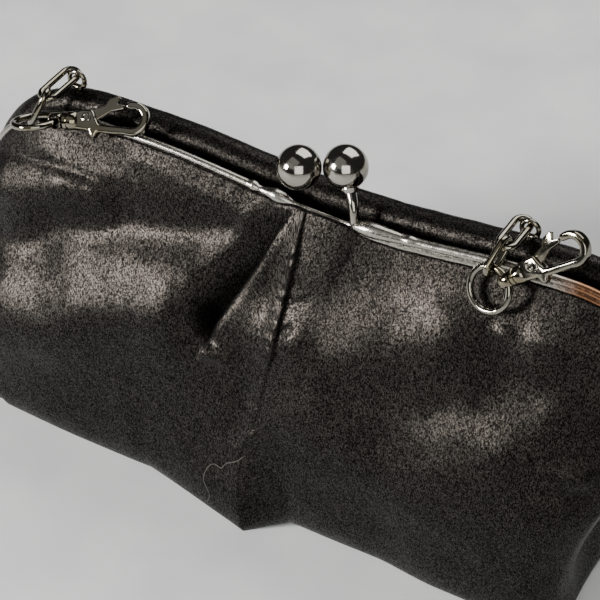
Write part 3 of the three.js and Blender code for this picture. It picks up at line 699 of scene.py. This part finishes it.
def makeBag():
    heights = [0, 0.012, 0.026, 0.042, 0.06, 0.08, 0.1, 0.12]
    steps = bagShape["wallRows"]
    heights += [mix(bagShape["wallStart"], 1, i / steps) for i in range(steps + 1)]
    rows = [bagRow(height) for height in heights]
    edge, foot = rows[-1], rows[0]
    count = len(frontRow(1.0))
    # the top edge curls in over the bar, and the floor runs in from the foot to a slit that is filled
    curls = [(0.35, 0.45), (0.2, 1.1)]
    for up, inTo in curls:
        rows.append([
            point + Vector((0, inTo if i < count else 0, up if i < count else up * 2))
            for i, point in enumerate(edge)])
    floorSteps = (0.97, 0.7, 0.4, 0.15)
    floor = [[Vector((mix(p.x, p.x * 0.9, b), p.y * (1 - b), 0)) for p in foot] for b in floorSteps]
    rows = floor + rows
    # cloth coordinates: along each row from an upright line on its side of the pleat, and up from the floor
    cloth = []
    pleatColumn = bagShape["leftColumns"] + len(bandSteps) // 2
    upTo = [0.0] * (len(foot) + 1)
    for r, row in enumerate(rows):
        along = [0.0]
        for i in range(1, len(row) + 1):
            along.append(along[-1] + (row[i % len(row)] - row[i - 1]).length)
        left, right = (crossing(row[:count], along, x) for x in bagShape["clothLines"])
        for i in range(len(row) + 1):
            step = row[i % len(row)] - rows[max(r - 1, 0)][i % len(row)]
            upTo[i] += math.hypot(step.y, step.z)
        starts = [left if i < pleatColumn else right for i in range(len(row) + 1)]
        cloth.append([(along[i] - starts[i], upTo[i]) for i in range(len(row) + 1)])
    piece = wrapGrid("satin_bag", rows, cloth)
    bpy.ops.object.mode_set(mode="EDIT")  # fills the slit in the floor
    pickWhere("VERT", lambda place: abs(place.y) < 1.2 and place.z < 0.01)
    bpy.ops.mesh.edge_face_add()
    bpy.ops.object.mode_set(mode="OBJECT")
    applyModifier(piece, "SOLIDIFY", thickness=bagShape["wall"] * mm, offset=-1, use_even_offset=False)
    thread = makeThread(piece)
    finishPiece(piece, satin, ["satin_body"], smooth=60)
    pickOnly(piece, thread)
    bpy.ops.object.join()
    return piece


bagPiece = makeBag()
print("satin bag sewn", len(bagPiece.data.polygons))

# Padded roll over the back half of the frame
rollShape = {
    "radius": 5.1, "endRadius": 3.2, "startAboveHinge": 8, "sides": 28, "step": 1.7, "gatherRun": 5,
    "wrinkle": 0.22, "wrinkleMm": 9, "wrinkleRound": 1.6,
}


def makeRoll():
    end = halfToHinge - rollShape["startAboveHinge"]
    rows, cloth = [], []
    for station in frameSteps(end, rollShape["step"], rollShape["step"]):
        place, out = framePlace(station, frameLine["rodInset"])
        gather = ease((end - abs(station)) / rollShape["gatherRun"])
        row, line = [], []
        for k in range(rollShape["sides"] + 1):
            angle = -2 * math.pi * k / rollShape["sides"]
            around = Vector((0, math.cos(angle), math.sin(angle))) * rollShape["wrinkleRound"]
            spot = Vector((station / rollShape["wrinkleMm"], 0, 0)) + around
            wrinkle = noise.noise(spot) + 0.5 * noise.noise(spot * 2.7)
            radius = mix(rollShape["endRadius"], rollShape["radius"], gather)
            radius += rollShape["wrinkle"] * wrinkle * gather
            line.append((station, angle * rollShape["radius"]))
            if k < rollShape["sides"]:
                row.append(place + Vector((0, frameLine["rodY"] + radius * math.sin(angle), 0))
                           + out * radius * math.cos(angle))
        rows.append(row)
        cloth.append(line)
    piece = wrapGrid("satin_roll", rows, cloth)
    closeEnds(piece)
    finishPiece(piece, satin, ["back_roll"], smooth=60)
    return piece


makeRoll()
print("roll padded")

# Front bar: a rolled top edge over a flat flange that grips the cloth; (out, back) in mm
barShape = {
    "rollOut": 1.1, "rollRadius": 1.4, "rollFrom": -35, "rollTo": 250, "rollSteps": 14, "lift": 0.4,
    "fine": 0.8, "wide": 1.6, "ripple": 0.18, "rippleMm": 3, "edge": 0.15,
}
barFlange = [(-0.45, -0.75), (-2.4, -0.95), (-2.62, -1.3), (-2.45, -1.72), (-0.2, -1.55), (0.25, -1.22)]
# How thick the rolled edge is along the bar: ribs, the two saddles of the knobs and the thin middle
barSwell = [
    (-125, 0.95), (-60, 0.95), (-24, 1.0), (-22.8, 1.25), (-21.8, 1.2), (-20.6, 0.8), (-18, 1.05),
    (-14.5, 1.55), (-10.5, 1.1), (-9, 0.65), (0, 0.6), (10.5, 0.6), (12, 1.1), (17, 1.75), (23, 1.5),
    (28, 1.2), (29.6, 1.3), (30.6, 1.3), (31.8, 1.1), (60, 1.1), (125, 1.0),
]


def makeBar():
    rows = []
    for station in frameSteps(halfToHinge + frameLine["belowHinge"], barShape["fine"], barShape["wide"]):
        place, out = framePlace(station)
        swell = tableAt(barSwell, place.x)
        radius = barShape["rollRadius"] * swell
        middle = barShape["rollOut"] + (swell - 1) * barShape["lift"]
        rolled = []
        for k in range(barShape["rollSteps"] + 1):
            angle = math.radians(mix(barShape["rollFrom"], barShape["rollTo"], k / barShape["rollSteps"]))
            rolled.append((middle + radius * math.sin(angle), -radius * math.cos(angle)))
        ripple = barShape["ripple"] * noise.noise(Vector((place.x / barShape["rippleMm"], 0, 7)))
        flange = [(o + (ripple if o < -2 else 0), b) for o, b in barFlange]
        origin = place + Vector((0, frontY(place.x), 0))
        rows.append([origin + out * o + Vector((0, b, 0)) for o, b in rolled + flange])
    piece = wrapGrid("front_bar", rows)
    closeEnds(piece)
    roundEdges(piece, barShape["edge"], 2, 35)
    return finishPiece(piece, barNickel, ["front_frame"], smooth=35)


makeBar()
print("front bar rolled")

# Kiss-lock knobs: a ball drawn out into a neck, on a bent post that leans from its own bar
knobShape = {"radius": 6.86, "neckHalfAngle": 20, "postThick": 1.7, "postThin": 1.25}
knobs = {
    "front": {"ball": (4.5, 2.2, 124.5), "foot": (11.5, -5.4, 110.2), "bend": (10.6, -4, 116)},
    "back": {"ball": (-7.5, -4.7, 124.5), "foot": (-9, 5.6, 109.6), "bend": (-9.8, 4.6, 116.6)},
}
knobNeck = [(0.5, 1.0), (0.25, 0.92), (0.8, 0.84), (0.2, 0.9)]  # each step's drop, and how it narrows


def makeKnob(side, spots):
    ball, foot, bend = (Vector(spots[key]) for key in ("ball", "foot", "bend"))
    radius = knobShape["radius"]
    clearSelection()
    bpy.ops.mesh.primitive_uv_sphere_add(segments=48, ring_count=32, radius=radius * mm)
    piece = nameNew(side + "_knob")
    bpy.ops.object.mode_set(mode="EDIT")
    limit = -math.cos(math.radians(knobShape["neckHalfAngle"])) * radius
    pickWhere("FACE", lambda place: place.z < limit)
    for drop, narrow in knobNeck:
        bpy.ops.mesh.extrude_region_move(TRANSFORM_OT_translate={"value": (0, 0, -drop * mm)})
        bpy.ops.transform.resize(value=(narrow, narrow, 1))
    bpy.ops.object.mode_set(mode="OBJECT")
    down = (bend - ball).normalized()
    turnTo = Vector((0, 0, -1)).rotation_difference(down).to_matrix().to_4x4()
    settle(piece, Matrix.Translation(ball * mm) @ turnTo)
    post = wire(side + "_post", smoothPath([ball + down * radius * 0.97, bend, foot], 8),
                knobShape["postThick"], knobShape["postThin"], 16)
    combine(piece, post, "UNION")
    return finishPiece(piece, nickel, smooth=35)


for knobSide, knobSpots in knobs.items():
    makeKnob(knobSide, knobSpots)
print("knobs turned")

# Back rod inside the roll, with a lug for each clasp's chain
rodShape = {"radius": 2.6, "sides": 20, "step": 2.4}
lugShape = {"radius": 2.7, "wire": 0.8, "stalk": 1.0, "collar": 1.35, "clear": 0.3}
# One row for each clasp: where its chain hangs, its knee, and how its ring and hook lie
clasps = [
    {"side": "left", "lugX": -90, "hangAt": 165, "knee": (-96, -6.6, 120.2), "ringAt": (-94.4, -14.4, 116.7),
     "ringFace": (-0.24, 0.25, 0.93), "grip": (-0.55, 0.77, -0.28), "along": (0.94, 0.31, 0.16),
     "face": (0.1, -0.68, 0.72)},
    {"side": "right", "lugX": 63, "hangAt": 165, "knee": (59.8, -5.5, 121.3), "ringAt": (59.4, -13, 111),
     "ringFace": (-0.18, -0.91, 0.36), "grip": (-0.12, 0.36, 0.92), "along": (0.73, 0.12, 0.67),
     "face": (-0.18, -0.91, 0.36)},
]


def lugPlace(x):
    side = -1 if x < 0 else 1
    station = abs(x)
    if station > topHalf:
        station = topHalf + frameLine["shoulder"] * math.asin((station - topHalf) / frameLine["shoulder"])
    place, out = framePlace(side * station, frameLine["rodInset"])
    foot = place + Vector((0, frameLine["rodY"], 0))
    reach = rollShape["radius"] + lugShape["clear"] + lugShape["wire"] + lugShape["radius"]
    return foot, foot + out * reach, out


def makeRod():
    rows = []
    end = halfToHinge + frameLine["belowHinge"]
    for station in frameSteps(end, rodShape["step"], rodShape["step"]):
        place, out = framePlace(station, frameLine["rodInset"])
        blunt = mix(0.75, 1.0, ease((end - abs(station)) / 1.5))  # rounded ends
        radius = rodShape["radius"] * blunt
        rows.append([
            place + Vector((0, frameLine["rodY"] + radius * math.sin(a), 0)) + out * radius * math.cos(a)
            for a in (2 * math.pi * k / rodShape["sides"] for k in range(rodShape["sides"]))])
    piece = wrapGrid("back_rod", rows)
    closeEnds(piece)
    return finishPiece(piece, nickel, ["back_frame"], smooth=40)


def makeLug(row):
    foot, centre, out = lugPlace(row["lugX"])
    piece = torus(row["side"] + "_lug", lugShape["radius"], lugShape["wire"], 40, 14)
    reshape(lambda place: place.y < -1.6, bpy.ops.transform.resize, (1.12, 1.0, 1.25))  # where it is soldered
    across = out.cross(Vector((0, 1, 0)))
    settle(piece, basis(across, across.cross(out), centre))
    length = (centre - foot).length - lugShape["radius"]
    thin, collar = lugShape["stalk"], lugShape["collar"]
    stalk = turn("stalk", [
        (0, thin), (length - 1.4, thin), (length - 0.9, collar), (length - 0.4, collar), (length, 0.95)], 20)
    turnTo = Vector((0, 0, 1)).rotation_difference(out).to_matrix().to_4x4()
    settle(stalk, Matrix.Translation(foot * mm) @ turnTo)
    combine(piece, stalk, "UNION")
    return finishPiece(piece, claspNickel, smooth=40)


makeRod()
for claspRow in clasps:
    makeLug(claspRow)
print("rod and lugs made")

# Hinge pins at the frame's two ends, with domed heads
pinShape = {"inset": 0.4, "front": -7.2, "back": 8.8, "radius": 1.2, "head": 1.9}


def makePins():
    front, back, shank, head = (pinShape[key] for key in ("front", "back", "radius", "head"))
    steps = [
        (front - 0.7, 0.7), (front - 0.45, 1.4), (front, head), (front + 0.4, head), (front + 0.45, shank),
        (back - 0.45, shank), (back - 0.4, head), (back, head), (back + 0.45, 1.4), (back + 0.7, 0.7),
    ]
    first = turn("left_pin", steps, 24)
    second = copyOf(first, "right_pin")
    lay = Matrix.Rotation(math.radians(-90), 4, "X")  # Z along the pin is turned to the back
    for side, piece, node in ((-1, first, "left_hinge_pin"), (1, second, "right_hinge_pin")):
        x = side * (frameLine["half"] - pinShape["inset"])
        settle(piece, Matrix.Translation(Vector((x, 0, frameLine["hinge"])) * mm) @ lay)
        finishPiece(piece, nickel, [node], smooth=40)


makePins()
print("hinge pins set")

# Chain links, each a torus drawn apart at its middle, and the rings that they hold
linkShape = {"halfWidth": 2.6, "wire": 1.08, "twist": 0.6}
ringShape = {"radius": 6.7, "wire": 1.05}


def makeLink(name, start, end, across, node):
    pull = end - start
    piece = torus(name, linkShape["halfWidth"], linkShape["wire"], 36, 14)
    reshape(lambda place: place.x > 0.001, bpy.ops.transform.translate, (pull.length * mm, 0, 0))
    settle(piece, basis(pull, pull.cross(across), start))
    return finishPiece(piece, claspNickel, [node], smooth=40)


def intoPlane(way, normal):
    return (way - normal * way.dot(normal)).normalized()


# Trigger clasp, in its own frame in mm: x along the hook from its barrel, z out of its flat face
hookShape = {"thick": 3.4, "round": 0.95, "bowX": 22, "bowRadius": 5.35, "loopRadius": 2.9}
gateShape = {"thick": 1.2, "pivotX": 7.6, "pivotY": 0.6, "root": 2.1, "round": 0.28}
slotShape = {"thick": 1.8, "length": 7.2, "height": 9, "x": 8.6, "y": 2.6}
swivelShape = {"eyeAt": -2.7, "eye": 2.0, "round": 0.22}
barrelSteps = [(-0.2, 1.45), (-0.2, 2.3), (0.0, 2.75), (1.0, 2.75), (1.2, 2.45), (1.6, 2.45), (1.8, 2.9),
               (3.9, 2.9), (4.4, 2.5), (4.4, 1.2)]
swivelSteps = [(-5.1, 0.9), (-4.9, 1.7), (-4.4, 2.3), (-3.4, 2.6), (-1.4, 2.6), (-0.8, 2.35), (-0.5, 1.7),
               (-0.5, 1.1), (1.8, 1.1)]
rivetSteps = [(-1.0, 0.7), (-2.0, 0.8), (-2.15, 1.05), (-2.05, 1.45), (-1.75, 1.55), (-1.7, 1.0), (1.7, 1.0),
              (1.75, 1.55), (2.05, 1.45), (2.15, 1.05), (2.0, 0.8), (1.0, 0.7)]


def arc(x, y, radius, start, end, steps):
    return [(x + radius * math.cos(math.radians(mix(start, end, k / steps))),
             y + radius * math.sin(math.radians(mix(start, end, k / steps)))) for k in range(steps + 1)]


def plate(name, outline, thick):  # a filled circle pulled to an outline, then drawn up to its thickness
    clearSelection()
    bpy.ops.mesh.primitive_circle_add(vertices=len(outline), radius=mm, fill_type="NGON")
    piece = nameNew(name)
    for vert, (x, y) in zip(piece.data.vertices, outline):
        vert.co = Vector((x, y, -thick / 2)) * mm
    bpy.ops.object.mode_set(mode="EDIT")
    bpy.ops.mesh.select_all(action="SELECT")
    bpy.ops.mesh.extrude_region_move(TRANSFORM_OT_translate={"value": (0, 0, thick * mm)})
    leaveOutwards()
    return piece


def makeHook():
    bow, outer, inner = hookShape["bowX"], hookShape["bowRadius"], hookShape["loopRadius"]
    outline = [(2.6, -2.5), (8.2, -3.3), (8.8, -5.4), (10.4, -5.6), (11.2, -3.9), (16.5, -4.65)]
    outline += arc(bow, 0, outer, -115, 112, 24) + [(19.9, 3.1)] + arc(bow, 0, inner, 95, -110, 18)
    outline += [(15.5, -2.1), (11.4, -1.6), (10.4, 0.6), (9.6, 3), (6, 3.2), (2.6, 2.5)]
    piece = plate("left_hook_body", outline, hookShape["thick"])
    roundEdges(piece, hookShape["round"], 4)
    clearSelection()
    bpy.ops.mesh.primitive_cube_add(size=1, location=(slotShape["x"] * mm, slotShape["y"] * mm, 0))
    tool = nameNew("slot_tool")
    tool.scale = (slotShape["length"] * mm, slotShape["height"] * mm, slotShape["thick"] * mm)
    bpy.ops.object.transform_apply(location=True, scale=True)
    combine(piece, tool, "DIFFERENCE")
    barrel = turn("barrel", barrelSteps, 36)
    settle(barrel, Matrix.Rotation(math.radians(90), 4, "Y"))
    combine(piece, barrel, "UNION")
    return piece


def makeGate():
    outline = arc(gateShape["pivotX"], gateShape["pivotY"], gateShape["root"], 95, 300, 12)
    outline += [(15, 2.5), (19, 3.1), (19.3, 4.4), (17, 4.7), (18, 6.6), (17, 7.3), (14.4, 6.4), (13, 4.3)]
    piece = plate("left_gate_lever", outline, gateShape["thick"])
    roundEdges(piece, gateShape["round"], 3)
    return piece


def makeRivet():
    piece = turn("left_gate_rivet", rivetSteps, 24)
    settle(piece, Matrix.Translation(Vector((gateShape["pivotX"], gateShape["pivotY"], 0)) * mm))
    return piece


def makeSwivel():
    piece = turn("left_swivel_head", swivelSteps, 32)
    settle(piece, Matrix.Rotation(math.radians(90), 4, "Y"))
    eye = turn("eye_tool", [(-5, swivelShape["eye"]), (5, swivelShape["eye"])], 28)
    across = Matrix.Rotation(math.radians(90), 4, "X")
    settle(eye, Matrix.Translation((swivelShape["eyeAt"] * mm, 0, 0)) @ across)
    combine(piece, eye, "DIFFERENCE")
    roundEdges(piece, swivelShape["round"], 2)
    return piece


def makeRing():
    piece = torus("left_wire_ring", ringShape["radius"], ringShape["wire"], 64, 16)
    pinched = (1, 0.985, 0.86)  # where the wire's ends meet
    reshape(lambda place: place.y < -5.4 and abs(place.x) < 0.05, bpy.ops.transform.resize, pinched)
    return piece


def hangClasp(row, hung):  # chain from the lug to the ring, then the clasp on the ring
    side = row["side"]
    hang = math.radians(row["hangAt"])
    lugWire = lugPlace(row["lugX"])[1] + Vector((math.cos(hang), 0, math.sin(hang))) * lugShape["radius"]
    knee = Vector(row["knee"])
    upperEnd = knee - (knee - lugWire).normalized() * linkShape["halfWidth"]
    makeLink(side + "_chain_upper", lugWire, upperEnd, Vector((1, 0, 0)), side + "_upper_link")
    centre = Vector(row["ringAt"])
    normal = Vector(row["ringFace"]).normalized()
    toLink = intoPlane(Vector(row["grip"]).normalized(), normal)
    held = centre + toLink * ringShape["radius"]
    across = (normal.cross(toLink) + Vector((-linkShape["twist"], 0, 0))).cross(held - knee)
    makeLink(side + "_chain_lower", knee, held, across, side + "_lower_link")
    along, face = Vector(row["along"]).normalized(), Vector(row["face"]).normalized()
    eye = centre + intoPlane(along, normal) * ringShape["radius"]
    origin = eye - along * swivelShape["eyeAt"]
    settle(hung["ring"], basis(along, normal, centre))
    settle(hung["swivel"], basis(along, normal, origin))
    for kind in ("hook", "gate", "rivet"):
        settle(hung[kind], basis(along, face, origin))
    for kind in ("ring", "swivel", "hook", "gate", "rivet"):
        body = side + "_gate_body" if kind == "gate" else "bag"
        finishPiece(hung[kind], claspNickel, [side + "_" + kind], body)


parts = {
    "hook": makeHook(), "gate": makeGate(), "rivet": makeRivet(), "swivel": makeSwivel(), "ring": makeRing(),
}
copies = {
    "left": parts,
    "right": {kind: copyOf(piece, piece.name.replace("left", "right")) for kind, piece in parts.items()},
}
for claspRow in clasps:
    hangClasp(claspRow, copies[claspRow["side"]])
print("clasps hung")

# Studio: a pale floor, a gridded key low at the front left, a fill at the front right, a dim card over
# the front and a top light from behind; places in m
studio = {
    "floor": "#d3d6d5", "floorPale": "#fbfaf8", "floorSize": 6, "mottleMm": 33.3,
    "world": 0.04, "aim": (0, 0, 0.07),
    "key": {"at": (-1.05, -1.2, 0.6), "size": 0.45, "power": 4.5, "spreadDeg": 50},
    "top": {"at": (0.1, 1.0, 1.5), "size": 1.5, "power": 22, "spreadDeg": 180},
    "fill": {"at": (0.75, -1.35, 0.75), "size": 1.2, "power": 12, "spreadDeg": 180},
    "card": {"at": (-0.35, -1.0, 1.25), "size": 1.5, "power": 2.2, "spreadDeg": 180},
}
cameraView = {
    "at": (0.2892, -0.5392, 0.5865), "right": (0.8746, 0.4848, 0), "up": (-0.3116, 0.5622, 0.7660),
    "forward": (-0.3714, 0.6700, -0.6428), "lens": 156, "sensor": 36,
}


def makeFloor():
    material, tree, shader = newMaterial("pale matt board")
    place = addNode(tree, "ShaderNodeTexCoord")
    tone = addNode(tree, "ShaderNodeTexNoise", {
        "Vector": place.outputs["Object"], "Scale": 1000 / studio["mottleMm"], "Detail": 2.0})
    colour = addNode(tree, "ShaderNodeMix", {
        0: tone.outputs["Fac"], 6: linear(studio["floor"]), 7: linear(studio["floorPale"])}, data_type="RGBA")
    tree.links.new(colour.outputs[2], shader.inputs["Base Color"])
    shader.inputs["Roughness"].default_value = 0.9
    clearSelection()
    bpy.ops.mesh.primitive_plane_add(size=studio["floorSize"])
    floor = nameNew("floor")
    floor.data.materials.append(material)


def makeLight(name):
    spec = studio[name]
    clearSelection()
    bpy.ops.object.light_add(type="AREA", location=spec["at"])
    light = bpy.context.object
    light.name = name + "_light"
    light.data.energy = spec["power"]
    light.data.size = spec["size"]
    light.data.spread = math.radians(spec["spreadDeg"])
    aim = Vector(studio["aim"]) - Vector(spec["at"])
    light.rotation_euler = aim.to_track_quat("-Z", "Y").to_euler()


makeFloor()
for lightName in ("key", "top", "fill", "card"):
    makeLight(lightName)
world = bpy.data.worlds.new("studio")
bpy.context.scene.world = world
world.use_nodes = True
world.node_tree.nodes["Background"].inputs["Color"].default_value = (1, 1, 1, 1)
world.node_tree.nodes["Background"].inputs["Strength"].default_value = studio["world"]

clearSelection()
bpy.ops.object.camera_add(location=cameraView["at"])
camera = bpy.context.object
camera.name = "camera"
axes = (Vector(cameraView["right"]), Vector(cameraView["up"]), -Vector(cameraView["forward"]))
camera.rotation_euler = Matrix(axes).transposed().to_euler()
camera.data.lens = cameraView["lens"]
camera.data.sensor_width = cameraView["sensor"]
bpy.context.scene.camera = camera
print("studio set")
